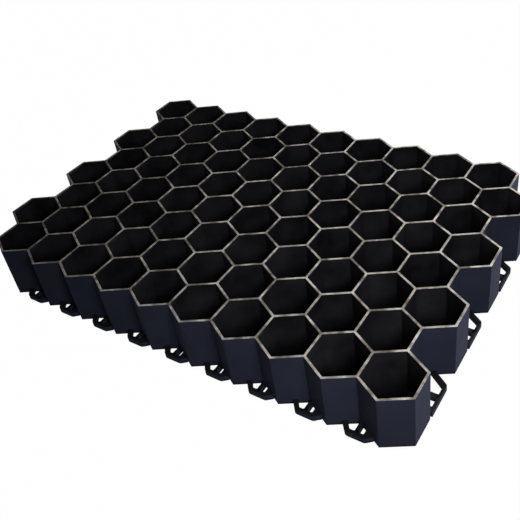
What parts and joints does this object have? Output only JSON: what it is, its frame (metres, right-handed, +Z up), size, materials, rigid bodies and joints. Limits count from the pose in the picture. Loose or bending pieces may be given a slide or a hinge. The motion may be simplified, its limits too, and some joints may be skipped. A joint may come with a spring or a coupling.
{
  "type": "grass paver grid",
  "caption": "Black moulded plastic panel of open hexagonal cells with joining loops at the foot of two edges, laid on the ground and filled with soil or gravel.",
  "frame": {"origin": "under the middle of the panel's box, on the ground it lies on", "axes": "+X along the rows of cells towards the edge with three loops, +Y across the rows away from the edge with nine loops, +Z up"},
  "size_m": [0.5282, 0.3656, 0.06],
  "materials": {
    "black_polyethylene": "satin moulded recycled polyethylene"
  },
  "bodies": {
    "root": {"paver_grid": "black_polyethylene"}
  },
  "joints": []
}
